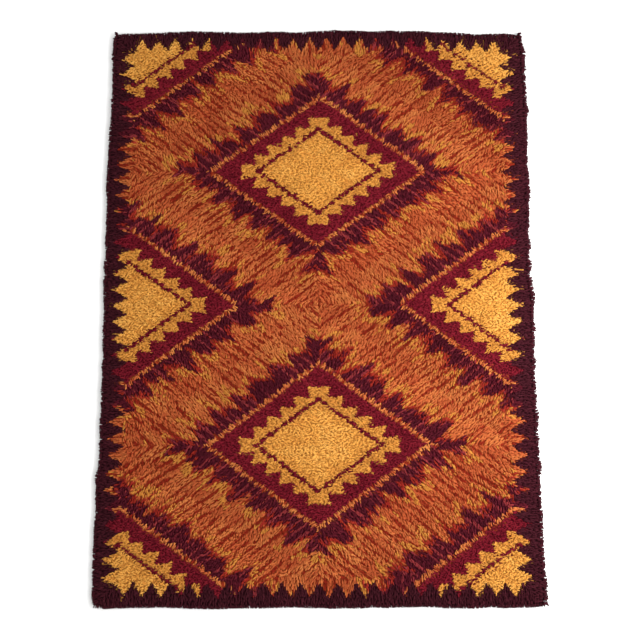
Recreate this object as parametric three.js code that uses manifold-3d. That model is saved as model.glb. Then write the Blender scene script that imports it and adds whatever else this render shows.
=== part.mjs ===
// A rya rug lying flat: one piece, with a long shaggy pile knotted through a woven ground.
// Millimetres, +Z up. The ground's underside is the plane z = 0, the rug's length runs along Y,
// and the middle of its outline stands over the origin.

import * as THREE from 'three';
import { mergeVertices } from 'three/addons/utils/BufferGeometryUtils.js';
import Module from 'manifold-3d';

// Driving dimensions

const RUG_WIDTH = 1480;
const RUG_LENGTH = 2000;
const GROUND_THICKNESS = 3;
const PILE_TOP = 27; // height of the pile's middle surface above the floor
const PILE_COLOUR = '#9c4a2a';
const PILE_ROUGHNESS = 0.95;

// The rim's section, from the floor up. inset is how far a line lies inside the pile's outline.
const GROUND_INSET = 10;
const RIM_SECTION = [
  { line: 'ground foot', inset: GROUND_INSET, height: 0 },
  { line: 'ground edge', inset: GROUND_INSET, height: GROUND_THICKNESS },
  { line: 'skirt', inset: 2, height: 4.5 },
  { line: 'belly', inset: 0, height: 18.5 },
];
const BROW_INSET = 13; // where the rim meets the top
const CORNER_BLUNT = 5; // how far each corner is drawn in, along X and along Y
const RIM_BUMP = 1.6; // the small bumps of single knots along the rim

// The lumps of the pile's top: waves across the rug at several headings, and the knots' own unevenness
const TOP_LUMPS = [
  { length: 310, heading: 70, height: 0.9 },
  { length: 190, heading: 15, height: 0.9 },
  { length: 150, heading: 128, height: 0.8 },
  { length: 118, heading: 48, height: 0.6 },
  { length: 96, heading: 100, height: 0.6 },
];
const KNOT_LUMP = 1.1;
const GRID_COLUMNS = 32;
const GRID_ROWS = 43;

// Each side's wander out of straight, along X for the two ends and along Y for the two long sides
const LEFT_WANDER = [
  { along: -960, out: 3 },
  { along: -850, out: 4 },
  { along: -620, out: 3 },
  { along: -500, out: -2.5 },
  { along: -260, out: -3.5 },
  { along: 0, out: -1 },
  { along: 240, out: 1 },
  { along: 500, out: 3.5 },
  { along: 770, out: -1 },
  { along: 960, out: 0 },
];
const RIGHT_WANDER = [
  { along: -960, out: 7 },
  { along: -850, out: 2 },
  { along: -620, out: 2 },
  { along: -380, out: -1.5 },
  { along: -260, out: -3.5 },
  { along: -10, out: 3.5 },
  { along: 115, out: -5.5 },
  { along: 240, out: -3.5 },
  { along: 370, out: 1.5 },
  { along: 500, out: 0 },
  { along: 640, out: 5 },
  { along: 770, out: 7 },
  { along: 910, out: 1.5 },
];
const FAR_WANDER = [
  { along: -730, out: -6.5 },
  { along: -600, out: -3 },
  { along: -470, out: 1 },
  { along: -80, out: 1 },
  { along: 55, out: 8.5 },
  { along: 185, out: 4.5 },
  { along: 315, out: 4.5 },
  { along: 445, out: 0.5 },
  { along: 575, out: -7 },
  { along: 720, out: -7 },
];
const NEAR_WANDER = [
  { along: -720, out: 4 },
  { along: -640, out: -2 },
  { along: -530, out: -2 },
  { along: -400, out: 1.5 },
  { along: -230, out: 1.5 },
  { along: -120, out: -1.5 },
  { along: 60, out: 2 },
  { along: 200, out: -1 },
  { along: 350, out: -1 },
  { along: 440, out: 2.5 },
  { along: 540, out: 0 },
];

// The locks that stand out of the rim, side by side: how many, and how far their tips reach past it
const SIDES = {
  left: { wander: LEFT_WANDER, locks: 60, reach: 7 },
  right: { wander: RIGHT_WANDER, locks: 60, reach: 12 },
  far: { wander: FAR_WANDER, locks: 45, reach: 7 },
  near: { wander: NEAR_WANDER, locks: 45, reach: 6 },
};
const LOCK_SIDES = 3;
const LOCK_ROOT_DEPTH = 11; // how far a lock's root lies inside the rim
const LOCK_ROOT_RADIUS = 7.5;
const LOCK_TIP_RADIUS = 3.2;
const LOCK_HEIGHTS = { lowest: 11, highest: 13 };
const LOCK_DROOP = 14; // degrees that a lock may hang, at most
const LOCK_YAW = 16; // degrees to either side of straight out
const LOCK_CORNER_GAP = 14; // the stretch beside each corner that has no lock
const LOCK_STRAY = 0.22; // share of the pitch that a lock may stand out of step
const LOCK_REACH_SPREAD = 0.4;

const HALF_WIDTH = RUG_WIDTH / 2;
const HALF_LENGTH = RUG_LENGTH / 2;

// A repeatable source of random numbers from 0 to 1

function makeRandom(seed) {
  let state = seed;
  return () => {
    state = (state + 0x6d2b79f5) | 0;
    let mixed = Math.imul(state ^ (state >>> 15), 1 | state);
    mixed = (mixed + Math.imul(mixed ^ (mixed >>> 7), 61 | mixed)) ^ mixed;
    return ((mixed ^ (mixed >>> 14)) >>> 0) / 4294967296;
  };
}

const between = (random, low, high) => low + (high - low) * random();

// The outline

// How far a side stands out of straight at a place along it, eased from row to row of its table
function wanderAt(table, along) {
  const next = table.findIndex((row) => row.along >= along);
  if (next === 0) return table[0].out;
  if (next < 0) return table[table.length - 1].out;
  const before = table[next - 1];
  const share = (along - before.along) / (table[next].along - before.along);
  const eased = (1 - Math.cos(Math.PI * share)) / 2;
  return before.out + (table[next].out - before.out) * eased;
}

// The pile body stops half a lock's reach inside the rug's nominal size.
function sideAt(side, along, halfSize) {
  return halfSize - side.reach / 2 + wanderAt(side.wander, along);
}

// A place on the rug: u and v run from -1 to 1 across its width and length, inset by a distance
function placeAt(u, v, inset) {
  const left = sideAt(SIDES.left, v * HALF_LENGTH, HALF_WIDTH) - inset;
  const right = sideAt(SIDES.right, v * HALF_LENGTH, HALF_WIDTH) - inset;
  const near = sideAt(SIDES.near, u * HALF_WIDTH, HALF_LENGTH) - inset;
  const far = sideAt(SIDES.far, u * HALF_WIDTH, HALF_LENGTH) - inset;
  const x = THREE.MathUtils.lerp(-left, right, (u + 1) / 2);
  const y = THREE.MathUtils.lerp(-near, far, (v + 1) / 2);
  const atCorner = Math.abs(u) === 1 && Math.abs(v) === 1;
  const blunt = atCorner ? CORNER_BLUNT : 0;
  return { x: x - u * blunt, y: y - v * blunt };
}

// The grid's edge points in order, anticlockwise seen from above, from the near left corner
function rimSteps() {
  const steps = [];
  for (let column = 0; column < GRID_COLUMNS; column++) steps.push([column, 0]);
  for (let row = 0; row < GRID_ROWS; row++) steps.push([GRID_COLUMNS, row]);
  for (let column = GRID_COLUMNS; column > 0; column--) steps.push([column, GRID_ROWS]);
  for (let row = GRID_ROWS; row > 0; row--) steps.push([0, row]);
  return steps;
}

function topHeight(x, y, random) {
  let height = PILE_TOP + between(random, -KNOT_LUMP, KNOT_LUMP);
  for (const lump of TOP_LUMPS) {
    const heading = THREE.MathUtils.degToRad(lump.heading);
    const across = x * Math.cos(heading) + y * Math.sin(heading);
    height += lump.height * Math.sin((2 * Math.PI * across) / lump.length);
  }
  return height;
}

// The slab: its flat underside, the rings of its rim and its lumpy top, as one closed skin
function slabGeometry() {
  const random = makeRandom(7);
  const points = [];
  const triangles = [];
  const addQuad = (a, b, c, d) => triangles.push(a, b, c, a, c, d);
  const toUnit = (step, count) => (2 * step) / count - 1;

  const steps = rimSteps();
  const bumps = steps.map(() => between(random, -RIM_BUMP, RIM_BUMP));
  RIM_SECTION.forEach(({ inset, height }) => {
    steps.forEach(([column, row], step) => {
      const bump = height > GROUND_THICKNESS ? bumps[step] : 0;
      const place = placeAt(toUnit(column, GRID_COLUMNS), toUnit(row, GRID_ROWS), inset - bump);
      points.push(place.x, place.y, height);
    });
  });

  const topStart = points.length / 3;
  for (let row = 0; row <= GRID_ROWS; row++) {
    for (let column = 0; column <= GRID_COLUMNS; column++) {
      const place = placeAt(toUnit(column, GRID_COLUMNS), toUnit(row, GRID_ROWS), BROW_INSET);
      points.push(place.x, place.y, topHeight(place.x, place.y, random));
    }
  }
  const topIndex = (column, row) => topStart + row * (GRID_COLUMNS + 1) + column;

  const foot = steps.map((_, step) => new THREE.Vector2(points[3 * step], points[3 * step + 1]));
  for (const [a, b, c] of THREE.ShapeUtils.triangulateShape(foot, [])) triangles.push(a, c, b);

  for (let ring = 0; ring < RIM_SECTION.length; ring++) {
    const isLast = ring === RIM_SECTION.length - 1;
    steps.forEach((here, step) => {
      const following = (step + 1) % steps.length;
      const below = [ring * steps.length + step, ring * steps.length + following];
      const above = isLast
        ? [topIndex(...here), topIndex(...steps[following])]
        : below.map((index) => index + steps.length);
      addQuad(below[0], below[1], above[1], above[0]);
    });
  }
  for (let row = 0; row < GRID_ROWS; row++) {
    for (let column = 0; column < GRID_COLUMNS; column++) {
      addQuad(
        topIndex(column, row),
        topIndex(column + 1, row),
        topIndex(column + 1, row + 1),
        topIndex(column, row + 1),
      );
    }
  }

  const geometry = new THREE.BufferGeometry();
  geometry.setAttribute('position', new THREE.Float32BufferAttribute(points, 3));
  geometry.setIndex(triangles);
  return geometry;
}

// One lock of yarn: a tapered, three-sided lock with its root in the rim and its tip hanging a little
function lockGeometry(place, outward, reach, random) {
  const length = LOCK_ROOT_DEPTH + reach;
  const lock = new THREE.CylinderGeometry(LOCK_TIP_RADIUS, LOCK_ROOT_RADIUS, length, LOCK_SIDES);
  const yaw = THREE.MathUtils.degToRad(between(random, -LOCK_YAW, LOCK_YAW));
  const droop = THREE.MathUtils.degToRad(between(random, 0, LOCK_DROOP));
  lock.rotateY(between(random, 0, 2 * Math.PI));
  lock.translate(0, length / 2, 0);
  lock.rotateX(-droop);
  lock.rotateZ(outward.angle() - Math.PI / 2 + yaw);
  lock.translate(
    place.x - outward.x * LOCK_ROOT_DEPTH,
    place.y - outward.y * LOCK_ROOT_DEPTH,
    between(random, LOCK_HEIGHTS.lowest, LOCK_HEIGHTS.highest),
  );
  return lock;
}

// The locks of one side, evenly spaced but for a little wander. toPlace turns a share of the side,
// from -1 to 1, into a place on the outline.
function sideLocks(side, outward, halfSize, toPlace, random) {
  const pitch = (2 * (halfSize - LOCK_CORNER_GAP)) / side.locks;
  const locks = [];
  for (let index = 0; index < side.locks; index++) {
    const stray = between(random, -LOCK_STRAY, LOCK_STRAY);
    const along = LOCK_CORNER_GAP - halfSize + pitch * (index + 0.5 + stray);
    const reach = side.reach * between(random, 1 - LOCK_REACH_SPREAD, 1 + LOCK_REACH_SPREAD);
    locks.push(lockGeometry(toPlace(along / halfSize), outward, reach, random));
  }
  return locks;
}

function rimLocks() {
  const random = makeRandom(21);
  const { left, right, far, near } = SIDES;
  const toLeft = new THREE.Vector2(-1, 0);
  const toRight = new THREE.Vector2(1, 0);
  const toFar = new THREE.Vector2(0, 1);
  const toNear = new THREE.Vector2(0, -1);
  return [
    ...sideLocks(left, toLeft, HALF_LENGTH, (v) => placeAt(-1, v, 0), random),
    ...sideLocks(right, toRight, HALF_LENGTH, (v) => placeAt(1, v, 0), random),
    ...sideLocks(far, toFar, HALF_WIDTH, (u) => placeAt(u, 1, 0), random),
    ...sideLocks(near, toNear, HALF_WIDTH, (u) => placeAt(u, -1, 0), random),
  ];
}

// Joining the locks to the slab

function toSolid(wasm, geometry) {
  geometry.deleteAttribute('normal');
  geometry.deleteAttribute('uv');
  const merged = mergeVertices(geometry);
  const vertProperties = Float32Array.from(merged.attributes.position.array);
  const triVerts = Uint32Array.from(merged.index.array);
  return new wasm.Manifold(new wasm.Mesh({ numProp: 3, vertProperties, triVerts }));
}

function toGeometry(solid) {
  const mesh = solid.getMesh();
  const geometry = new THREE.BufferGeometry();
  geometry.setAttribute('position', new THREE.BufferAttribute(mesh.vertProperties, 3));
  geometry.setIndex(new THREE.BufferAttribute(mesh.triVerts, 1));
  geometry.computeVertexNormals();
  return geometry;
}

async function rugMesh() {
  const wasm = await Module();
  wasm.setup();
  let rug = toSolid(wasm, slabGeometry());
  for (const lock of rimLocks()) rug = rug.add(toSolid(wasm, lock));

  const geometry = toGeometry(rug);
  geometry.computeBoundingBox();
  const middle = geometry.boundingBox.getCenter(new THREE.Vector3());
  const material = new THREE.MeshStandardMaterial({
    color: PILE_COLOUR,
    roughness: PILE_ROUGHNESS,
    metalness: 0,
  });
  const mesh = new THREE.Mesh(geometry, material);
  mesh.name = 'rug';
  mesh.position.set(-middle.x, -middle.y, 0);
  return mesh;
}

const rugGroup = new THREE.Group();
rugGroup.add(await rugMesh());

export default rugGroup;
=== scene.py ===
"""A rya rug lying flat: a ribbed woven ground, a bed of knot roots, and the cut yarn ends of its pile.

Metres, +Z up, in the frame of the solid. The pile follows the solid's own outline and lumpy top.
"""

import math

import bpy
import numpy as np
from mathutils import Matrix, Vector
from mathutils.bvhtree import BVHTree


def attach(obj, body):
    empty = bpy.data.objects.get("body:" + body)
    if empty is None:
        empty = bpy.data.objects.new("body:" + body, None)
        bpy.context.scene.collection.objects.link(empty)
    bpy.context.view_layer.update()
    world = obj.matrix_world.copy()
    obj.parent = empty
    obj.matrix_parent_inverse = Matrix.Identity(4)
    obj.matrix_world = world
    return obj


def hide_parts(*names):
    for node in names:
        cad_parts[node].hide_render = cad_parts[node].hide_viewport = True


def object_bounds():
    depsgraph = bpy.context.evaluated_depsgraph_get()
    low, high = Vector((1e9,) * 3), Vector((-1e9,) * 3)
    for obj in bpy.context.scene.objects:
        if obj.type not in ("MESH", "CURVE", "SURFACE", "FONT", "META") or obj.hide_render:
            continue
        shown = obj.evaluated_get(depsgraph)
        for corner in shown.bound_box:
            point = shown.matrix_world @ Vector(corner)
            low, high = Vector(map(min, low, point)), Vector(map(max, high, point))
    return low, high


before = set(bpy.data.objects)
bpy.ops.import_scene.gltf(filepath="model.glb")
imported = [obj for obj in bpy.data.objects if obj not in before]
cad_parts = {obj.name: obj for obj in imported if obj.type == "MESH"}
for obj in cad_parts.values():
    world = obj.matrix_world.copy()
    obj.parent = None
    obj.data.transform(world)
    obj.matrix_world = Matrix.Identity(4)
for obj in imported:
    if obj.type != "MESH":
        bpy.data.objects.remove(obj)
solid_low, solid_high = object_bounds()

# Camera, as the corners of the rug place it in the photograph

CAMERA_TARGET = (0.0025, -0.0522, 0.0)
CAMERA_DISTANCE = 2.754
CAMERA_TILT = 8.3
CAMERA_TURN = -0.77
CAMERA_ROLL = 0.67
CAMERA_LENS = 45.0
SENSOR_WIDTH = 36.0

# The solid's widest line, which the pile is fitted to: its height, and how deep a band of a side to search

BELLY_HEIGHT = 0.0185
BELLY_TOLERANCE = 0.0002
EDGE_BAND = 0.03
RAY_CLEARANCE = 0.01

# Smooth noise: the cells of its lattice, where in it some uses start, and the seed of each use

NOISE_CELLS = 128
PATCH_SHIFT = 50.0
TUFT_SHIFT = 31.0
SIDE_SHIFT = 2.0
BAND_NOISE = 40
LOCK_NOISE = 60
CLOUD_NOISE = 61
EDGE_COMB_NOISE = 62
FLECK_NOISE = 63
WANDER_NOISE = 64
TUFT_NOISE = 70
MIX_NOISE = 80

# The knots and the yarn

KNOT_PITCH_ACROSS = 0.0094
KNOT_PITCH_ALONG = 0.0106
ENDS_PER_KNOT = 3
KNOT_INSET = 0.0125
KNOT_STRAY = 0.44
YARN_RADIUS = 0.0025
YARN_RADIUS_SPREAD = 0.14
CUT_END_TAPER = 0.78
ROOT_HEIGHT = 0.008
BEND_DROP = 0.0085
BEND_DROP_SPREAD = 0.0022
TIP_ABOVE = 0.0004
TIP_BELOW = 0.0056
LEAN_REACH = 0.0130
LEAN_REACH_SPREAD = 0.0035

# Which way the ends lie, in degrees: both ways along one heading, or combed along the locks, whose
# heading wanders by as much as COMBED_WANDER in all from patch to patch

LAY_HEADING = 8.0
LAY_LOCK_SPREAD = 32.0
LAY_END_SPREAD = 42.0
COMBED_YARNS = ["orange", "red", "maroon", "border"]
COMBED_LOCK_SPREAD = 12.0
COMBED_END_SPREAD = 15.0
COMBED_WANDER = 44.0
COMBED_WANDER_PATCH = 0.06

# Near a side the ends are combed straight out over it instead

EDGE_COMB = 0.075
EDGE_COMB_SPREAD = 0.05
EDGE_COMB_PATCH = 0.03

# Shares of an end's reach: the root's place behind the knot, the bend, and the spot that shows

BACK_SHARE = 0.52
BEND_SHARE = 0.22
SEEN_SHARE = 0.62

# The rim, where yarn ends fall over the edge of the ground

RIM_LAYERS = [
    {"tip_height": 0.0045, "root_height": 0.0050, "pitch": 0.0046, "reach": -0.0010},
    {"tip_height": 0.0095, "root_height": 0.0110, "pitch": 0.0041, "reach": 0.0010},
    {"tip_height": 0.0150, "root_height": 0.0160, "pitch": 0.0041, "reach": 0.0005},
    {"tip_height": 0.0205, "root_height": 0.0200, "pitch": 0.0050, "reach": -0.0025},
]
RIM_ROOT_INSET = 0.013
RIM_BEND_SHARE = 0.35
RIM_BEND_RISE = 0.0022
RIM_HEIGHT_SPREAD = 0.0018
RIM_SHADE_SPREAD = 0.2
RIM_STRAY = 0.4
RIM_YAW = 30.0
CORNER_ROUND = 0.006
EDGE_MARGIN = 0.004
EDGE_DROP = 0.6
RIM_TUFTS = {
    "left": {"pitch": 0.021, "reach": 0.0032, "base": 0.0003, "spread": 0.0014},
    "right": {"pitch": 0.020, "reach": 0.0058, "base": 0.0034, "spread": 0.0017},
    "far": {"pitch": 0.030, "reach": 0.0024, "base": 0.0002, "spread": 0.0010},
    "near": {"pitch": 0.024, "reach": 0.0012, "base": 0.0008, "spread": 0.0004},
}
TUFT_GAIN = 1.6
TUFT_LEVEL = 0.3

# The bed of knot roots and the woven ground. BED_SAMPLE is where the bed reads the height of the solid's
# top, as a share of the way out from the middle, so that its edge isn't read past the rim.

BED_DEPTH = 0.0100
BED_FLOOR = 0.0030
BED_INSET = 0.0075
BED_SAMPLE = 0.99
BED_COLUMNS = 126
BED_ROWS = 168
GROUND_INSET = 0.010
GROUND_THICKNESS = 0.0026
RIB_PITCH = 0.0050
RIB_DEPTH = 0.0004
GROUND_COLUMNS = 6

# The border and its saw teeth, side by side

BORDER = {
    "left": {"solid": 0.018, "tooth": 0.053, "teeth": 35},
    "right": {"solid": 0.026, "tooth": 0.053, "teeth": 35},
    "far": {"solid": 0.015, "tooth": 0.046, "teeth": 24},
    "near": {"solid": 0.022, "tooth": 0.047, "teeth": 24},
}
TOOTH_POINT = 1.1

# The border fills each corner up to this sum of the distances from its two sides

CORNER_BLOCK = 0.105

# The field: a lattice of nested lozenges. until is how far out each band reaches, as a share of the
# lozenge; the outer edge of a band is straight, toothed or feathered. tone shifts its shade. The noise
# that feathers an edge is RAGGED_WIDTH along it, and QUARTER_SHIFT keeps the four quarters unlike.

LOZENGE_HALF_WIDTH = 0.665
LOZENGE_HALF_LENGTH = 0.480
LOZENGE_SIDE = math.hypot(LOZENGE_HALF_WIDTH, LOZENGE_HALF_LENGTH)
LOZENGE_DEPTH = LOZENGE_HALF_WIDTH * LOZENGE_HALF_LENGTH / LOZENGE_SIDE
RAGGED_LENGTH = 0.09
RAGGED_WIDTH = 0.016
QUARTER_SHIFT = 7.3
FIELD_BANDS = [
    {"yarn": "gold", "until": 0.25, "tooth": 0.0, "pitch": 0.03, "feather": 0.04, "tone": 0.06},
    {"yarn": "gold", "until": 0.305, "tooth": 0.0, "pitch": 0.03, "feather": 0.006, "tone": -0.12},
    {"yarn": "crimson", "until": 0.325, "tooth": 0.022, "pitch": 0.029, "feather": 0.004, "tone": -0.1},
    {"yarn": "gold", "until": 0.375, "tooth": 0.095, "pitch": 0.058, "feather": 0.004, "tone": -0.25},
    {"yarn": "crimson", "until": 0.555, "tooth": 0.0, "pitch": 0.03, "feather": 0.004, "tone": 0.0},
    {"yarn": "orange", "until": 0.575, "tooth": 0.030, "pitch": 0.029, "feather": 0.004, "tone": 0.1},
    {"yarn": "maroon", "until": 0.700, "tooth": 0.10, "pitch": 0.082, "feather": 0.08, "tone": 0.0},
    {"yarn": "orange", "until": 2.0, "tooth": 0.0, "pitch": 0.03, "feather": 0.0, "tone": 0.0},
]

# Where maroon meets orange, streaks of other yarns are mixed in. start and end are how far past the
# edge of the maroon, as a share of the lozenge, and a streak is where the noise stays below its value.

MIXES = [
    {"yarn": "red", "start": -0.06, "end": 0.0, "below": 0.50, "tone": 0.0},
    {"yarn": "red", "start": 0.0, "end": 0.035, "below": 0.45, "tone": 0.1},
    {"yarn": "gold", "start": 0.02, "end": 0.11, "below": 0.46, "tone": -0.50},
]
MIX_BLUR = 0.12
MIX_LENGTH = 0.085
MIX_WIDTH = 0.0064

# Thin flecks of another shade part the yarn into locks that run outwards from the middle of each
# lozenge. The locks wander sideways by LOCK_WANDER of their pitch. FLECK_SHARE is how much of the pitch
# is fleck, and FLECK_UNEVEN how far that varies. A darker fleck is partly the yarn's dark dye and partly
# painted shade in the sunken partings between locks; a lighter fleck is lighter yarn, raised. Broad
# clouds of another shade run the same way.

LOCK_PITCH = 0.026
LOCK_WANDER = 0.6
WANDER_LENGTH = 0.12
WANDER_WIDTH = 0.030
FLECK_SHARE = 0.29
FLECK_UNEVEN = 0.8
FLECK_LENGTH = 0.07
FLECK_WIDTH = 0.012
FLECK_SOFTNESS = 0.16
FLECK_RELIEF = 0.0016
CLOUD_LENGTH = 0.11
CLOUD_WIDTH = 0.030

# The yarns: the dyes that each is spun from, dark to light, as sRGB, its usual place among them, and
# how far from it the flecks, the clouds and each single end are

YARNS = {
    "gold": {"dyes": [(200, 130, 56), (226, 160, 72), (242, 186, 98)], "mean": 0.50, "fleck": -0.18,
             "cloud": 0.30, "spread": 0.06},
    "orange": {"dyes": [(136, 34, 20), (188, 90, 50), (226, 152, 80)], "mean": 0.54, "fleck": -0.58,
               "cloud": 0.26, "spread": 0.05},
    "red": {"dyes": [(112, 22, 20), (152, 42, 32), (190, 72, 50)], "mean": 0.48, "fleck": -0.14,
            "cloud": 0.25, "spread": 0.08},
    "crimson": {"dyes": [(84, 12, 24), (120, 24, 38), (150, 44, 50)], "mean": 0.48, "fleck": -0.14,
                "cloud": 0.25, "spread": 0.08},
    "maroon": {"dyes": [(60, 14, 26), (92, 24, 36), (150, 54, 56)], "mean": 0.36, "fleck": 0.46,
               "cloud": 0.25, "spread": 0.07},
    "border": {"dyes": [(42, 12, 20), (64, 21, 30), (90, 37, 46)], "mean": 0.47, "fleck": 0.10,
               "cloud": 0.10, "spread": 0.07},
}
FAMILIES = list(YARNS)

# The map of one yarn end: where its fans, its sides and its cap lie, from 0 to 1 along it

MAP_FANS_TO = 0.42
MAP_SIDES_FROM = 0.44
MAP_SIDES_TO = 0.88
MAP_CAP = [(0.3, 0.9), (0.7, 0.9), (0.5, 1.0)]
CELL_MARGIN = 0.05

# The twist of the yarn: strands round it, marks along the map of one end, and how dark the painted shade
# in its grooves is. A band wave of scale 1 repeats after WAVE_PERIOD along an axis, and after WAVE_TURN on
# the diagonal.

PLIES = 2
PLY_MARKS = 5.5
PLY_GROOVE_SHADE = 0.86
PLY_WANDER = 0.8
WAVE_PERIOD = 2 * math.pi / 20
WAVE_TURN = 2 * math.pi / 10

# The look of the yarn: its surface, how much its fibres shade it and lift its bump, where the dyes lie
# on the scale of shades, and the painted shade that darkens it from the tip to the root

YARN_ROUGHNESS = 0.85
YARN_SPECULAR = 0.06
YARN_SHEEN = 0.10
YARN_SHEEN_ROUGHNESS = 0.5
FIBRES_A_METRE = 650.0
FIBRE_DETAIL = 2.0
FIBRE_SHADE = 0.30
FIBRE_BUMP = 0.8
DYE_PLACES = (0.05, 0.5, 0.95)
# Painted shade along an end: where along it the shade starts and stops, and how light its root and tip are
DARKEST_ALONG = 0.2
LIGHTEST_ALONG = 0.8
ROOT_PAINTED_SHADE = 0.62
TIP_PAINTED_LIGHT = 1.06
YARN_BUMP_STRENGTH = 0.7
YARN_BUMP_DEPTH = 0.0009

# The knot roots between the ends: tufts to the metre, and how light they are from their gaps to their
# middles, which is painted shade in the gaps. ROOT_GAP_AT is how far from the middle of a tuft its gap
# lies, in cells.

ROOTS_A_METRE = 190.0
ROOT_GAP = 0.60
ROOT_TOP = 1.0
ROOT_GAP_AT = 0.65
ROOT_ROUGHNESS = 0.9
ROOT_SPECULAR = 0.05
ROOT_BUMP_STRENGTH = 0.8
ROOT_BUMP_DEPTH = 0.002

# The look of the woven ground: its colour, and how far the weave and the uneven yarn shade it; the
# weave's part is painted shade in the hollows between the threads

GROUND_COLOUR = (92, 60, 44)
GROUND_DARK = 0.45
GROUND_LIGHT = 1.35
GROUND_DARK_AT = 0.25
GROUND_LIGHT_AT = 0.95
GROUND_ROUGHNESS = 0.9
WARP_PITCH = 0.0040
WEAVE_WANDER = 0.4
WEAVE_SHADE = 0.5
SLUBS_A_METRE = 160.0
GROUND_BUMP_STRENGTH = 0.7
GROUND_BUMP_DEPTH = 0.0008

# The floor, the sky and the lights

FLOOR_COLOUR = (251, 251, 250)
FLOOR_ROUGHNESS = 0.9
FLOOR_HALF = 60.0
FLOOR_DROP = 0.0002
SKY_STRENGTH = 0.88
LIGHTS = [
    {"name": "key", "place": (1.9, -1.3, 2.9), "size": 1.8, "power": 55.0, "aim": (0.1, -0.1, 0)},
    {"name": "side", "place": (1.35, -0.05, 1.5), "size": 1.2, "power": 42.0, "aim": (0.25, 0, 0)},
]

MOST_ENDS_A_PIECE = 19000

SEED = 1970
random = np.random.default_rng(SEED)


def linear(colour):
    """An sRGB colour of 0 to 255 as Blender's linear red, green, blue and alpha."""
    share = np.array(colour) / 255
    value = np.where(share <= 0.04045, share / 12.92, ((share + 0.055) / 1.055) ** 2.4)
    return (*value.tolist(), 1.0)


def uniform(low, high, count):
    return random.uniform(low, high, count)


def value_noise(x, y, seed):
    """Smooth noise from 0 to 1 with one bump to each unit of x and y."""
    size = NOISE_CELLS
    lattice = np.random.default_rng(seed).random((size, size))
    left, low = np.floor(x).astype(int), np.floor(y).astype(int)
    across, up = x - left, y - low
    across, up = across**2 * (3 - 2 * across), up**2 * (3 - 2 * up)
    row = [lattice[(left + i) % size, low % size] * (1 - up)
           + lattice[(left + i) % size, (low + 1) % size] * up for i in (0, 1)]
    return row[0] * (1 - across) + row[1] * across


def triangle_wave(x):
    """0 at whole numbers, 1 halfway between."""
    return 1 - np.abs(2 * (x - np.floor(x)) - 1)


# The outline and the top of the solid


def solid_points():
    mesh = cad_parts["rug"].data
    points = np.empty(len(mesh.vertices) * 3, np.float32)
    mesh.vertices.foreach_get("co", points)
    return points.reshape(-1, 3).astype(float)


def side_line(belly, across, sign):
    """(places along, where the side stands) of the solid's widest line on one side."""
    out = belly[:, across] * sign
    edge = belly[out > out.max() - EDGE_BAND]
    edge = edge[np.argsort(edge[:, 1 - across])]
    return edge[:, 1 - across], edge[:, across]


def outline():
    points = solid_points()
    belly = points[np.abs(points[:, 2] - BELLY_HEIGHT) < BELLY_TOLERANCE]
    return {
        "left": side_line(belly, 0, -1),
        "right": side_line(belly, 0, 1),
        "near": side_line(belly, 1, -1),
        "far": side_line(belly, 1, 1),
    }


SIDES = outline()

# Straight out over the left, right, near and far side

SIDE_HEADINGS = np.array([np.pi, 0.0, -np.pi / 2, np.pi / 2])
HALF_WIDTH = (SIDES["right"][1].mean() - SIDES["left"][1].mean()) / 2
HALF_LENGTH = (SIDES["far"][1].mean() - SIDES["near"][1].mean()) / 2


def side_at(side, along):
    return np.interp(along, *SIDES[side])


def place_at(u, v, inset):
    """Where a place of the rug lies: u and v run from -1 to 1 across its width and length."""
    x_guess, y_guess = u * HALF_WIDTH, v * HALF_LENGTH
    left = side_at("left", y_guess) + inset
    right = side_at("right", y_guess) - inset
    near = side_at("near", x_guess) + inset
    far = side_at("far", x_guess) - inset
    return left + (right - left) * (u + 1) / 2, near + (far - near) * (v + 1) / 2


def top_heights(x, y):
    """The height of the solid's lumpy top over each place."""
    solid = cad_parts["rug"].data
    tree = BVHTree.FromPolygons(
        [vertex.co for vertex in solid.vertices],
        [polygon.vertices for polygon in solid.polygons],
    )
    down = Vector((0, 0, -1))
    above = solid_high.z + RAY_CLEARANCE
    middle = (BELLY_HEIGHT + solid_high.z) / 2
    heights = np.full(len(x), middle)
    for index, (place_x, place_y) in enumerate(zip(x.tolist(), y.tolist())):
        hit = tree.ray_cast(Vector((place_x, place_y, above)), down)[0]
        if hit is not None:
            heights[index] = hit.z
    return heights


# The chart: which yarn each place of the rug is knotted with, and how dark it is


def in_border(x, y):
    """True where the dark border and its saw teeth lie."""
    distances = {
        "left": (x + HALF_WIDTH, y / (2 * HALF_LENGTH)),
        "right": (HALF_WIDTH - x, y / (2 * HALF_LENGTH)),
        "near": (y + HALF_LENGTH, x / (2 * HALF_WIDTH)),
        "far": (HALF_LENGTH - y, x / (2 * HALF_WIDTH)),
    }
    sideways = np.minimum(distances["left"][0], distances["right"][0])
    lengthways = np.minimum(distances["near"][0], distances["far"][0])
    inside = sideways + lengthways < CORNER_BLOCK
    for side, (distance, share) in distances.items():
        border = BORDER[side]
        teeth = triangle_wave((share + 0.5) * border["teeth"]) ** TOOTH_POINT
        inside |= distance < border["solid"] + border["tooth"] * (1 - teeth)
    return inside


def of_yarn(column, family):
    return np.array([YARNS[name][column] for name in FAMILIES])[family]


def lozenge_place(x, y):
    """(how far out in its lozenge each place is, from 0 to 1, metres along the side, its quarter)."""
    p, q = x / LOZENGE_HALF_WIDTH, (y - LOZENGE_HALF_LENGTH) / LOZENGE_HALF_LENGTH
    diagonal, other = np.round((p + q) / 2), np.round((p - q) / 2)
    p, q = p - (diagonal + other), q - (diagonal - other)
    quarter = (p > 0) + 2 * (q > 0) + 4 * (diagonal + 3 * other)
    return np.abs(p) + np.abs(q), (np.abs(p) - np.abs(q)) * LOZENGE_SIDE / 2, quarter


def patches(x, y, size, seed):
    """Noise from -0.5 to 0.5 in patches of one size."""
    return value_noise(x / size + PATCH_SHIFT, y / size + PATCH_SHIFT, seed) - 0.5


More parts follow.
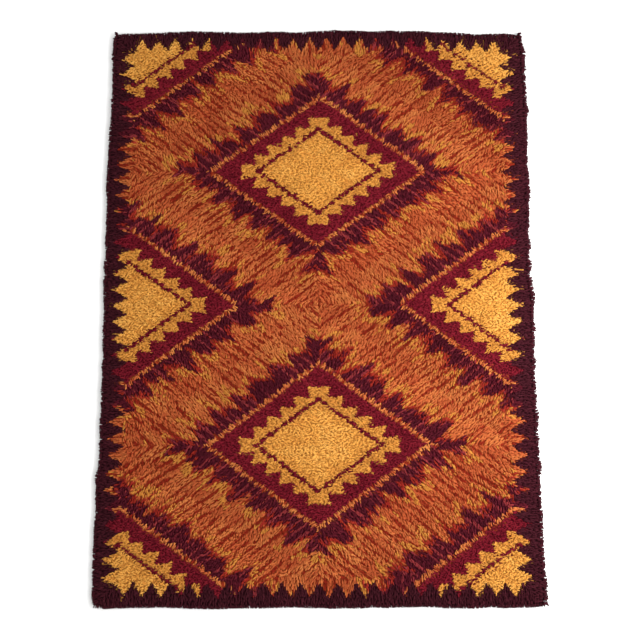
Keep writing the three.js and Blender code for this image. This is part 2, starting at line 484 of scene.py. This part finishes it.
def streak_place(x, y):
    """(metres along the streaks, metres across them, their heading) at each place.

    They run outwards from the middle of each lozenge, and straight out over the sides near the edge.
    """
    out, along, quarter = lozenge_place(x, y)
    outward, shift = out * LOZENGE_DEPTH, quarter * QUARTER_SHIFT
    right, up = np.where(quarter % 2 >= 1, 1, -1), np.where(quarter % 4 >= 2, 1, -1)
    heading = np.arctan2(up / LOZENGE_HALF_LENGTH, right / LOZENGE_HALF_WIDTH)
    heading = heading + np.radians(COMBED_WANDER) * patches(x, y, COMBED_WANDER_PATCH, WANDER_NOISE)

    distances = np.stack([x + HALF_WIDTH, HALF_WIDTH - x, y + HALF_LENGTH, HALF_LENGTH - y])
    side = distances.argmin(0)
    reach = EDGE_COMB + EDGE_COMB_SPREAD * patches(x, y, EDGE_COMB_PATCH, EDGE_COMB_NOISE)
    near_side = distances.min(0) < reach
    outward = np.where(near_side, distances.min(0), outward + shift * WANDER_LENGTH)
    across = np.where(near_side, np.where(side < 2, y, x) + SIDE_SHIFT, along + shift * WANDER_WIDTH)
    return outward, across, np.where(near_side, SIDE_HEADINGS[side], heading)


def bands(x, y):
    """(family, tone, how far past the edge of the maroon) by the chart's bands and border alone."""
    out, along, quarter = lozenge_place(x, y)
    outward = out * LOZENGE_DEPTH
    shift = quarter * QUARTER_SHIFT
    family = np.full(len(x), FAMILIES.index(FIELD_BANDS[-1]["yarn"]))
    tone = np.zeros(len(x))
    past_maroon = np.zeros(len(x))
    for number, band in reversed(list(enumerate(FIELD_BANDS[:-1]))):
        place = outward / RAGGED_LENGTH + shift, along / RAGGED_WIDTH + shift
        ragged = value_noise(*place, BAND_NOISE + number) - 0.5
        edge = band["until"] + band["tooth"] * triangle_wave(along / band["pitch"])
        edge = edge + 2 * band["feather"] * ragged
        family = np.where(out < edge, FAMILIES.index(band["yarn"]), family)
        tone = np.where(out < edge, band["tone"], tone)
        if band["yarn"] == "maroon":
            past_maroon = out - edge
    border = in_border(x, y)
    family = np.where(border, FAMILIES.index("border"), family)
    return family, np.where(border, 0.0, tone), past_maroon


def is_yarn(family, *names):
    return np.isin(family, [FAMILIES.index(name) for name in names])


def chart(x, y):
    """(family, shade, height above the rest) of the yarn end that is seen at each place."""
    family, tone, past_maroon = bands(x, y)
    outward, across, _ = streak_place(x, y)
    combed = is_yarn(family, "orange", "maroon")
    for number, mix in enumerate(MIXES):
        streak = value_noise(outward / MIX_LENGTH, across / MIX_WIDTH, MIX_NOISE + number)
        streak = streak + MIX_BLUR * uniform(-1, 1, len(x))
        mixed = combed & (past_maroon > mix["start"]) & (past_maroon < mix["end"]) & (streak < mix["below"])
        family = np.where(mixed, FAMILIES.index(mix["yarn"]), family)
        tone = np.where(mixed, mix["tone"], tone)

    wander = LOCK_WANDER * value_noise(outward / WANDER_LENGTH, across / WANDER_WIDTH, LOCK_NOISE)
    uneven = value_noise(outward / FLECK_LENGTH, across / FLECK_WIDTH, FLECK_NOISE) - 0.5
    from_parting = triangle_wave(across / LOCK_PITCH + wander)
    fleck = np.clip((FLECK_SHARE + FLECK_UNEVEN * uneven - from_parting) / FLECK_SOFTNESS, 0, 1)
    cloud = value_noise(outward / CLOUD_LENGTH, across / CLOUD_WIDTH, CLOUD_NOISE) - 0.5
    # A darker fleck is partly the yarn's dark dye and partly painted shade in a sunken parting
    shade = of_yarn("mean", family) + of_yarn("fleck", family) * fleck + of_yarn("cloud", family) * cloud
    shade = shade + tone + of_yarn("spread", family) * uniform(-1, 1, len(x))
    return family, shade, FLECK_RELIEF * fleck * np.sign(of_yarn("fleck", family))


# Meshes from arrays


def build_mesh(name, points, faces, materials):
    """A mesh object. faces is a list of arrays, one for each number of corners."""
    corners = np.concatenate([part.ravel() for part in faces])
    totals = np.concatenate([np.full(len(part), part.shape[1]) for part in faces])
    starts = np.concatenate([[0], np.cumsum(totals)[:-1]])
    mesh = bpy.data.meshes.new(name)
    mesh.vertices.add(len(points))
    mesh.vertices.foreach_set("co", points.astype(np.float32).ravel())
    mesh.loops.add(len(corners))
    mesh.loops.foreach_set("vertex_index", corners.astype(np.int32))
    mesh.polygons.add(len(totals))
    mesh.polygons.foreach_set("loop_start", starts.astype(np.int32))
    mesh.polygons.foreach_set("loop_total", totals.astype(np.int32))
    mesh.polygons.foreach_set("use_smooth", np.ones(len(totals), bool))
    mesh.update(calc_edges=True)
    for material in materials:
        mesh.materials.append(material)
    piece = bpy.data.objects.new(name, mesh)
    bpy.context.scene.collection.objects.link(piece)
    return piece


def set_values(piece, name, values):
    attribute = piece.data.attributes.new(name, "FLOAT", "POINT")
    attribute.data.foreach_set("value", values.astype(np.float32))


def set_map(piece, name, places):
    layer = piece.data.uv_layers.new(name=name)
    layer.data.foreach_set("uv", places.astype(np.float32).ravel())


# Yarn ends: a point at the root, a ring where the yarn bends over, and a ring at its cut end

END_POINTS = 7
END_FANS = np.array([[0, 2, 1], [0, 3, 2], [0, 1, 3]])
END_SIDES = np.array([[1, 2, 5, 4], [2, 3, 6, 5], [3, 1, 4, 6]])
END_CAP = np.array([[4, 5, 6]])
END_ALONG = np.array([0.0, 0.5, 0.5, 0.5, 1.0, 1.0, 1.0])


def ring(centre, direction, side, radius, roll):
    """Three points round each centre."""
    up = np.cross(direction, side)
    turns = roll[:, None] + np.arange(3) * 2 * np.pi / 3
    around = np.cos(turns)[..., None] * side[:, None] + np.sin(turns)[..., None] * up[:, None]
    return centre[:, None] + radius[:, None, None] * around


def unit(vectors):
    return vectors / np.linalg.norm(vectors, axis=1, keepdims=True)


def end_points(ends):
    """The seven points of each yarn end."""
    count = len(ends["root"])
    heading = np.stack([np.cos(ends["heading"]), np.sin(ends["heading"]), np.zeros(count)], 1)
    side = np.stack([-heading[:, 1], heading[:, 0], np.zeros(count)], 1)
    first = unit(ends["bend"] - ends["root"])
    second = unit(ends["tip"] - ends["bend"])
    roll = uniform(0, 2 * np.pi, count)
    middle_ring = ring(ends["bend"], unit(first + second), side, ends["radius"], roll)
    last_ring = ring(ends["tip"], second, side, ends["radius"] * CUT_END_TAPER, roll)
    return np.concatenate([ends["root"][:, None], middle_ring, last_ring], 1)


def end_map(count, cells):
    """The places of the corners of count yarn ends: each in its own cell, or all in one if cells is 1."""
    low, high = MAP_SIDES_FROM, MAP_SIDES_TO
    fans, sides = [], []
    for k in range(3):
        start, end = k / 3, (k + 1) / 3
        fans.append([[(k + 0.5) / 3, 0.0], [end, MAP_FANS_TO], [start, MAP_FANS_TO]])
        sides.append([[start, low], [end, low], [end, high], [start, high]])
    number = np.arange(count)
    corner = np.stack([number % cells, number // cells % cells], 1)
    parts = []
    for shape in (fans, sides, MAP_CAP):
        spots = np.array(shape).reshape(1, -1, 2)
        if cells > 1:
            spots = CELL_MARGIN + (1 - 2 * CELL_MARGIN) * spots
        parts.append(((corner[:, None] + spots) / cells).reshape(-1, 2))
    return np.concatenate(parts)


def build_ends(name, ends, material):
    """One piece of yarn ends."""
    count = len(ends["root"])
    base = (np.arange(count) * END_POINTS)[:, None, None]
    faces = [(base + corners).reshape(-1, corners.shape[1]) for corners in (END_FANS, END_SIDES, END_CAP)]
    piece = build_mesh(name, end_points(ends).reshape(-1, 3), faces, [material])
    set_values(piece, "shade", np.repeat(ends["shade"], END_POINTS))
    set_values(piece, "along", np.tile(END_ALONG, count))
    set_map(piece, "OFBake", end_map(count, math.ceil(math.sqrt(count))))
    set_map(piece, "yarn", end_map(count, 1))
    return piece


def chosen(ends, which):
    return {key: values[which] for key, values in ends.items()}


def joined(*groups):
    return {key: np.concatenate([group[key] for group in groups]) for key in groups[0]}


def field_ends():
    """The yarn ends of every knot."""
    columns = round(2 * (HALF_WIDTH - KNOT_INSET) / KNOT_PITCH_ACROSS)
    rows = round(2 * (HALF_LENGTH - KNOT_INSET) / KNOT_PITCH_ALONG)
    u, v = np.meshgrid((np.arange(columns) + 0.5) / columns * 2 - 1, (np.arange(rows) + 0.5) / rows * 2 - 1)
    u, v = u.ravel(), v.ravel()
    knots = len(u)
    x, y = place_at(u, v, KNOT_INSET)
    top = top_heights(x, y)
    chart_x, chart_y = u * HALF_WIDTH, v * HALF_LENGTH
    combed = is_yarn(bands(chart_x, chart_y)[0], *COMBED_YARNS)
    streak_heading = streak_place(chart_x, chart_y)[2]
    lock_spread = np.radians(np.where(combed, COMBED_LOCK_SPREAD, LAY_LOCK_SPREAD))
    end_spread = np.radians(np.where(combed, COMBED_END_SPREAD, LAY_END_SPREAD))
    lock_turn = lock_spread * uniform(-1, 1, knots)

    groups = []
    for end in range(ENDS_PER_KNOT):
        spot_x = x + uniform(-KNOT_STRAY, KNOT_STRAY, knots) * KNOT_PITCH_ACROSS
        spot_x = spot_x + (end - (ENDS_PER_KNOT - 1) / 2) * KNOT_PITCH_ACROSS / ENDS_PER_KNOT
        spot_y = y + uniform(-KNOT_STRAY, KNOT_STRAY, knots) * KNOT_PITCH_ALONG
        either_way = np.radians(LAY_HEADING) + np.where(random.random(knots) < 0.5, 0.0, np.pi)
        heading = np.where(combed, streak_heading, either_way) + lock_turn
        heading = heading + end_spread * uniform(-1, 1, knots)
        reach = uniform(LEAN_REACH - LEAN_REACH_SPREAD, LEAN_REACH + LEAN_REACH_SPREAD, knots)
        step = np.stack([np.cos(heading), np.sin(heading)], 1) * reach[:, None]
        back = np.stack([spot_x, spot_y], 1) - step * BACK_SHARE
        seen = back + step * SEEN_SHARE
        family, shade, relief = chart(chart_x + seen[:, 0] - x, chart_y + seen[:, 1] - y)
        bend_drop = uniform(BEND_DROP - BEND_DROP_SPREAD, BEND_DROP + BEND_DROP_SPREAD, knots)
        bend_height = top + relief - bend_drop
        tip_height = top + relief + uniform(-TIP_BELOW, TIP_ABOVE, knots)
        groups.append({
            "root": np.column_stack([back, np.full(knots, ROOT_HEIGHT)]),
            "bend": np.column_stack([back + step * BEND_SHARE, bend_height]),
            "tip": np.column_stack([back + step, tip_height]),
            "heading": heading,
            "radius": YARN_RADIUS * uniform(1 - YARN_RADIUS_SPREAD, 1 + YARN_RADIUS_SPREAD, knots),
            "family": family,
            "shade": shade,
        })
    return joined(*groups)


def rim_side(side, across, sign, half_along):
    """The yarn ends that fall over one side."""
    tufts = RIM_TUFTS[side]
    groups = []
    for layer in RIM_LAYERS:
        count = round(2 * half_along / layer["pitch"])
        along = (np.arange(count) + 0.5) / count * 2 * half_along - half_along
        along = along + uniform(-RIM_STRAY, RIM_STRAY, count) * layer["pitch"]
        edge = side_at(side, along)
        tuft = value_noise(along / tufts["pitch"] + TUFT_SHIFT, np.zeros(count), TUFT_NOISE + across) ** 2
        reach = layer["reach"] + tufts["base"] + tufts["reach"] * (TUFT_GAIN * tuft - TUFT_LEVEL)
        reach = reach + tufts["spread"] * uniform(-1, 1, count)
        outward = np.pi / 2 * across + (np.pi if sign < 0 else 0.0)
        heading = outward + np.radians(uniform(-RIM_YAW, RIM_YAW, count))
        length = RIM_ROOT_INSET + reach
        root = np.zeros((count, 3))
        root[:, across], root[:, 1 - across] = edge - sign * RIM_ROOT_INSET, along
        step = np.column_stack([np.cos(heading), np.sin(heading), np.zeros(count)])
        step = step * (length / np.abs(step[:, across]))[:, None]
        height = uniform(-RIM_HEIGHT_SPREAD, RIM_HEIGHT_SPREAD, count)
        bend, tip = root + RIM_BEND_SHARE * step, root + step
        root[:, 2] = layer["root_height"]
        bend[:, 2] = layer["root_height"] + RIM_BEND_RISE + height
        tip[:, 2] = layer["tip_height"] + height
        groups.append({
            "root": root,
            "bend": bend,
            "tip": tip,
            "heading": heading,
            "radius": YARN_RADIUS * uniform(1 - YARN_RADIUS_SPREAD, 1 + YARN_RADIUS_SPREAD, count),
            "family": np.full(count, FAMILIES.index("border")),
            "shade": YARNS["border"]["mean"] + uniform(-RIM_SHADE_SPREAD, RIM_SHADE_SPREAD, count),
        })
    return joined(*groups)


def rim_ends():
    return joined(
        rim_side("left", 0, -1, HALF_LENGTH - CORNER_ROUND),
        rim_side("right", 0, 1, HALF_LENGTH - CORNER_ROUND),
        rim_side("near", 1, -1, HALF_WIDTH - CORNER_ROUND),
        rim_side("far", 1, 1, HALF_WIDTH - CORNER_ROUND),
    )


def turn_out_near_rim(ends):
    """Ends near the edge lean outwards and no further than the outline."""
    x, y = ends["tip"][:, 0], ends["tip"][:, 1]
    over = [
        (side_at("left", y) - x, 0, 1),
        (x - side_at("right", y), 0, -1),
        (side_at("near", x) - y, 1, 1),
        (y - side_at("far", x), 1, -1),
    ]
    for distance, across, sign in over:
        beyond = np.clip(distance + EDGE_MARGIN, 0, None)
        ends["tip"][:, across] += sign * beyond
        ends["tip"][:, 2] -= EDGE_DROP * beyond
    return ends


# Materials


def new_material(name):
    material = bpy.data.materials.new(name)
    material.use_nodes = True
    material.node_tree.nodes.clear()
    return material, material.node_tree.nodes, material.node_tree.links


def add(nodes, kind, **settings):
    node = nodes.new(kind)
    for key, value in settings.items():
        setattr(node, key, value)
    return node


def yarn_material(name, dyes):
    """Wool yarn: a dye picked by the end's shade, fine fibres, a twist, painted shade in its grooves and
    towards the root.
    """
    material, nodes, links = new_material(name)
    shader = add(nodes, "ShaderNodeBsdfPrincipled")
    shader.inputs["Roughness"].default_value = YARN_ROUGHNESS
    shader.inputs["Specular IOR Level"].default_value = YARN_SPECULAR
    shader.inputs["Sheen Weight"].default_value = YARN_SHEEN
    shader.inputs["Sheen Roughness"].default_value = YARN_SHEEN_ROUGHNESS
    shader.inputs["Sheen Tint"].default_value = linear(dyes[2])
    output = add(nodes, "ShaderNodeOutputMaterial")
    links.new(shader.outputs["BSDF"], output.inputs["Surface"])

    shade = add(nodes, "ShaderNodeAttribute", attribute_name="shade")
    along = add(nodes, "ShaderNodeAttribute", attribute_name="along")
    place = add(nodes, "ShaderNodeTexCoord")
    fibres = add(nodes, "ShaderNodeTexNoise")
    fibres.inputs["Scale"].default_value = FIBRES_A_METRE
    fibres.inputs["Detail"].default_value = FIBRE_DETAIL
    links.new(place.outputs["Object"], fibres.inputs["Vector"])

    mixed = add(nodes, "ShaderNodeMath", operation="MULTIPLY_ADD")
    mixed.inputs[1].default_value = FIBRE_SHADE
    links.new(fibres.outputs["Fac"], mixed.inputs[0])
    links.new(shade.outputs["Fac"], mixed.inputs[2])
    centred = add(nodes, "ShaderNodeMath", operation="SUBTRACT")
    centred.inputs[1].default_value = FIBRE_SHADE / 2
    links.new(mixed.outputs[0], centred.inputs[0])

    ramp = add(nodes, "ShaderNodeValToRGB")
    ramp.color_ramp.interpolation = "LINEAR"
    stops = ramp.color_ramp.elements
    stops[0].position, stops[0].color = DYE_PLACES[0], linear(dyes[0])
    stops[1].position, stops[1].color = DYE_PLACES[2], linear(dyes[2])
    middle = stops.new(DYE_PLACES[1])
    middle.color = linear(dyes[1])
    links.new(centred.outputs[0], ramp.inputs["Fac"])

    # Painted shade, darker from the tip down to the root, with a little painted light at the tip
    painted_root_shade = add(nodes, "ShaderNodeMapRange")
    painted_root_shade.inputs["From Min"].default_value = DARKEST_ALONG
    painted_root_shade.inputs["From Max"].default_value = LIGHTEST_ALONG
    painted_root_shade.inputs["To Min"].default_value = ROOT_PAINTED_SHADE
    painted_root_shade.inputs["To Max"].default_value = TIP_PAINTED_LIGHT
    links.new(along.outputs["Fac"], painted_root_shade.inputs["Value"])
    painted_shade_colour = add(nodes, "ShaderNodeMix", data_type="RGBA", blend_type="MULTIPLY")
    painted_shade_colour.inputs["Factor"].default_value = 1.0
    links.new(ramp.outputs["Color"], painted_shade_colour.inputs["A"])
    links.new(painted_shade_colour.outputs["Result"], shader.inputs["Base Color"])

    yarn_map = add(nodes, "ShaderNodeUVMap", uv_map="yarn")
    turned = add(nodes, "ShaderNodeMapping")
    turned.inputs["Scale"].default_value = (WAVE_TURN * PLIES, WAVE_TURN * PLY_MARKS, 1.0)
    links.new(yarn_map.outputs["UV"], turned.inputs["Vector"])
    twist = add(nodes, "ShaderNodeTexWave", wave_type="BANDS", bands_direction="DIAGONAL")
    twist.inputs["Scale"].default_value = 1.0
    twist.inputs["Distortion"].default_value = PLY_WANDER
    twist.inputs["Detail"].default_value = 1.0
    links.new(turned.outputs["Vector"], twist.inputs["Vector"])
    # Painted shade in the grooves between the plies, where the bump sinks
    painted_groove_shade = add(nodes, "ShaderNodeMapRange")
    painted_groove_shade.inputs["To Min"].default_value = PLY_GROOVE_SHADE
    painted_groove_shade.inputs["To Max"].default_value = 1.0
    links.new(twist.outputs["Fac"], painted_groove_shade.inputs["Value"])
    # The painted shade towards the root and the painted shade in the grooves, together
    light = add(nodes, "ShaderNodeMath", operation="MULTIPLY")
    links.new(painted_root_shade.outputs["Result"], light.inputs[0])
    links.new(painted_groove_shade.outputs["Result"], light.inputs[1])
    links.new(light.outputs[0], painted_shade_colour.inputs["B"])

    height = add(nodes, "ShaderNodeMath", operation="MULTIPLY_ADD")
    height.inputs[1].default_value = FIBRE_BUMP
    links.new(fibres.outputs["Fac"], height.inputs[0])
    links.new(twist.outputs["Fac"], height.inputs[2])
    bump = add(nodes, "ShaderNodeBump")
    bump.inputs["Strength"].default_value = YARN_BUMP_STRENGTH
    bump.inputs["Distance"].default_value = YARN_BUMP_DEPTH
    links.new(height.outputs[0], bump.inputs["Height"])
    links.new(bump.outputs["Normal"], shader.inputs["Normal"])
    return material


def root_material(name, dyes):
    """Knot roots between the yarn ends: round tufts of the dark and middle dyes, with painted shade between
    them.
    """
    material, nodes, links = new_material(name)
    shader = add(nodes, "ShaderNodeBsdfPrincipled")
    shader.inputs["Roughness"].default_value = ROOT_ROUGHNESS
    shader.inputs["Specular IOR Level"].default_value = ROOT_SPECULAR
    output = add(nodes, "ShaderNodeOutputMaterial")
    links.new(shader.outputs["BSDF"], output.inputs["Surface"])
    place = add(nodes, "ShaderNodeTexCoord")
    tufts = add(nodes, "ShaderNodeTexVoronoi", feature="F1")
    tufts.inputs["Scale"].default_value = ROOTS_A_METRE
    links.new(place.outputs["Object"], tufts.inputs["Vector"])
    # Painted shade in the gaps between the tufts, where the bump sinks
    light = add(nodes, "ShaderNodeMapRange")
    light.inputs["From Max"].default_value = ROOT_GAP_AT
    light.inputs["To Min"].default_value = ROOT_TOP
    light.inputs["To Max"].default_value = ROOT_GAP
    links.new(tufts.outputs["Distance"], light.inputs["Value"])
    # The dark and middle dyes keep the roots darker than the ends: partly the yarn's own dyes, partly
    # painted shade down among the ends
    ramp = add(nodes, "ShaderNodeValToRGB")
    stops = ramp.color_ramp.elements
    stops[0].position, stops[0].color = 0.0, linear(dyes[0])
    stops[1].position, stops[1].color = 1.0, linear(dyes[1])
    links.new(tufts.outputs["Color"], ramp.inputs["Fac"])
    painted_shade_colour = add(nodes, "ShaderNodeMix", data_type="RGBA", blend_type="MULTIPLY")
    painted_shade_colour.inputs["Factor"].default_value = 1.0
    links.new(ramp.outputs["Color"], painted_shade_colour.inputs["A"])
    links.new(light.outputs["Result"], painted_shade_colour.inputs["B"])
    links.new(painted_shade_colour.outputs["Result"], shader.inputs["Base Color"])
    bump = add(nodes, "ShaderNodeBump", invert=True)
    bump.inputs["Strength"].default_value = ROOT_BUMP_STRENGTH
    bump.inputs["Distance"].default_value = ROOT_BUMP_DEPTH
    links.new(tufts.outputs["Distance"], bump.inputs["Height"])
    links.new(bump.outputs["Normal"], shader.inputs["Normal"])
    return material


def ground_material():
    """Coarse woven ground: weft ribs, warp threads across them, and unevenly spun yarn."""
    material, nodes, links = new_material("ground_weave")
    shader = add(nodes, "ShaderNodeBsdfPrincipled")
    shader.inputs["Roughness"].default_value = GROUND_ROUGHNESS
    output = add(nodes, "ShaderNodeOutputMaterial")
    links.new(shader.outputs["BSDF"], output.inputs["Surface"])
    place = add(nodes, "ShaderNodeTexCoord")
    waves = []
    for direction, pitch in (("X", WARP_PITCH), ("Y", RIB_PITCH)):
        wave = add(nodes, "ShaderNodeTexWave", wave_type="BANDS", bands_direction=direction)
        wave.inputs["Scale"].default_value = WAVE_PERIOD / pitch
        wave.inputs["Distortion"].default_value = WEAVE_WANDER
        links.new(place.outputs["Object"], wave.inputs["Vector"])
        waves.append(wave)
    weave = add(nodes, "ShaderNodeMath", operation="MULTIPLY")
    links.new(waves[0].outputs["Fac"], weave.inputs[0])
    links.new(waves[1].outputs["Fac"], weave.inputs[1])
    slub = add(nodes, "ShaderNodeTexNoise")
    slub.inputs["Scale"].default_value = SLUBS_A_METRE
    links.new(place.outputs["Object"], slub.inputs["Vector"])
    # The weave darkens the hollows between threads as painted shade; the uneven yarn is its own tone
    tone = add(nodes, "ShaderNodeMath", operation="MULTIPLY_ADD")
    tone.inputs[1].default_value = WEAVE_SHADE
    links.new(weave.outputs[0], tone.inputs[0])
    links.new(slub.outputs["Fac"], tone.inputs[2])
    ramp = add(nodes, "ShaderNodeValToRGB")
    dark = [GROUND_DARK * value for value in GROUND_COLOUR]
    light = [GROUND_LIGHT * value for value in GROUND_COLOUR]
    stops = ramp.color_ramp.elements
    stops[0].position, stops[0].color = GROUND_DARK_AT, linear(dark)
    stops[1].position, stops[1].color = GROUND_LIGHT_AT, linear(light)
    links.new(tone.outputs[0], ramp.inputs["Fac"])
    links.new(ramp.outputs["Color"], shader.inputs["Base Color"])
    bump = add(nodes, "ShaderNodeBump")
    bump.inputs["Strength"].default_value = GROUND_BUMP_STRENGTH
    bump.inputs["Distance"].default_value = GROUND_BUMP_DEPTH
    links.new(weave.outputs[0], bump.inputs["Height"])
    links.new(bump.outputs["Normal"], shader.inputs["Normal"])
    return material


def plain_material(name, colour, roughness):
    material, nodes, links = new_material(name)
    shader = add(nodes, "ShaderNodeBsdfPrincipled")
    shader.inputs["Base Color"].default_value = linear(colour)
    shader.inputs["Roughness"].default_value = roughness
    output = add(nodes, "ShaderNodeOutputMaterial")
    links.new(shader.outputs["BSDF"], output.inputs["Surface"])
    return material


# The bed and the ground: closed sheets of columns and rows


def sheet_grid(columns, rows, inset):
    """(x, y, cells, rim) of a sheet inside the outline: rim is its edge points, anticlockwise."""
    u, v = np.meshgrid(np.linspace(-1, 1, columns + 1), np.linspace(-1, 1, rows + 1))
    x, y = place_at(u.ravel(), v.ravel(), inset)
    first = (np.arange(rows)[:, None] * (columns + 1) + np.arange(columns)).ravel()
    cells = np.stack([first, first + 1, first + columns + 2, first + columns + 1], 1)
    near = np.arange(columns + 1)
    right = np.arange(rows + 1) * (columns + 1) + columns
    far = near[::-1] + rows * (columns + 1)
    left = right[::-1] - columns
    return x, y, cells, np.concatenate([near[:-1], right[:-1], far[:-1], left[:-1]])


def walls(upper, lower):
    """Faces between two like rings of points."""
    return np.stack([lower, np.roll(lower, -1), np.roll(upper, -1), upper], 1)


def build_bed(materials):
    """The knot roots: a lumpy slab under the yarn ends, in the colours of the chart."""
    x, y, cells, rim = sheet_grid(BED_COLUMNS, BED_ROWS, BED_INSET)
    top = np.column_stack([x, y, top_heights(x * BED_SAMPLE, y * BED_SAMPLE) - BED_DEPTH])
    floor = np.column_stack([x[rim], y[rim], np.full(len(rim), BED_FLOOR)])
    floor_ring = len(top) + np.arange(len(rim))
    points = np.concatenate([top, floor])
    faces = [cells, walls(rim, floor_ring), floor_ring[None, ::-1]]
    piece = build_mesh("pile_bed", points, faces, materials)
    middle = top[cells].mean(1)
    family = np.full(len(piece.data.polygons), FAMILIES.index("border"))
    family[:len(cells)] = bands(middle[:, 0], middle[:, 1])[0]
    piece.data.polygons.foreach_set("material_index", family.astype(np.int32))
    return piece


def build_ground(material):
    """The woven ground: flat on top, with a weft rib at every other row underneath."""
    rows = round(2 * (HALF_LENGTH - GROUND_INSET) / RIB_PITCH) * 2
    x, y, cells, rim = sheet_grid(GROUND_COLUMNS, rows, GROUND_INSET)
    row = np.repeat(np.arange(rows + 1), GROUND_COLUMNS + 1)
    top = np.column_stack([x, y, np.full(len(x), GROUND_THICKNESS)])
    under = np.column_stack([x, y, RIB_DEPTH * (row % 2)])
    points = np.concatenate([top, under])
    faces = [np.concatenate([cells, cells[:, ::-1] + len(top), walls(rim, rim + len(top))])]
    return build_mesh("ground_cloth", points, faces, [material])


# The pile


def build_pile(materials):
    ends = joined(turn_out_near_rim(field_ends()), rim_ends())
    pieces = []
    for number, name in enumerate(FAMILIES):
        family = chosen(ends, ends["family"] == number)
        parts = math.ceil(len(family["root"]) / MOST_ENDS_A_PIECE)
        order = np.argsort(family["root"][:, 1], kind="stable")
        for part, which in enumerate(np.array_split(order, parts), 1):
            title = f"pile_{name}" if parts == 1 else f"pile_{name}_{part}"
            pieces.append(build_ends(title, chosen(family, which), materials[number]))
    return pieces


# Camera, floor and light


def place_camera():
    data = bpy.data.cameras.new("camera")
    data.lens = CAMERA_LENS
    data.sensor_width = SENSOR_WIDTH
    camera = bpy.data.objects.new("camera", data)
    bpy.context.scene.collection.objects.link(camera)
    camera.matrix_world = (
        Matrix.Translation(CAMERA_TARGET)
        @ Matrix.Rotation(math.radians(CAMERA_TURN), 4, "Z")
        @ Matrix.Rotation(math.radians(CAMERA_TILT), 4, "X")
        @ Matrix.Rotation(math.radians(CAMERA_ROLL), 4, "Z")
        @ Matrix.Translation((0, 0, CAMERA_DISTANCE))
    )
    bpy.context.scene.camera = camera


def add_area_light(name, place, size, power, aim):
    data = bpy.data.lights.new(name, "AREA")
    data.shape = "DISK"
    data.size = size
    data.energy = power
    light = bpy.data.objects.new(name, data)
    bpy.context.scene.collection.objects.link(light)
    light.visible_camera = False
    light.location = place
    light.rotation_euler = (Vector(aim) - Vector(place)).to_track_quat("-Z", "Y").to_euler()


def build_stage():
    corners = FLOOR_HALF * np.array([[-1, -1, 0], [1, -1, 0], [1, 1, 0], [-1, 1, 0]])
    material = plain_material("floor", FLOOR_COLOUR, FLOOR_ROUGHNESS)
    floor = build_mesh("floor", corners, [np.array([[0, 1, 2, 3]])], [material])
    floor.location.z = -FLOOR_DROP
    world = bpy.data.worlds.new("world")
    bpy.context.scene.world = world
    world.use_nodes = True
    background = world.node_tree.nodes["Background"]
    background.inputs["Color"].default_value = (1.0, 1.0, 1.0, 1.0)
    background.inputs["Strength"].default_value = SKY_STRENGTH
    for light in LIGHTS:
        add_area_light(**light)
    bpy.context.scene.view_settings.view_transform = "Standard"


place_camera()
build_stage()

yarns = [yarn_material(f"yarn_{name}", YARNS[name]["dyes"]) for name in FAMILIES]
ground = build_ground(ground_material())
roots = [root_material(f"roots_{name}", YARNS[name]["dyes"]) for name in FAMILIES]
pile = [build_bed(roots), *build_pile(yarns)]
for piece in [ground, *pile]:
    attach(piece, "root")
    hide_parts("rug")
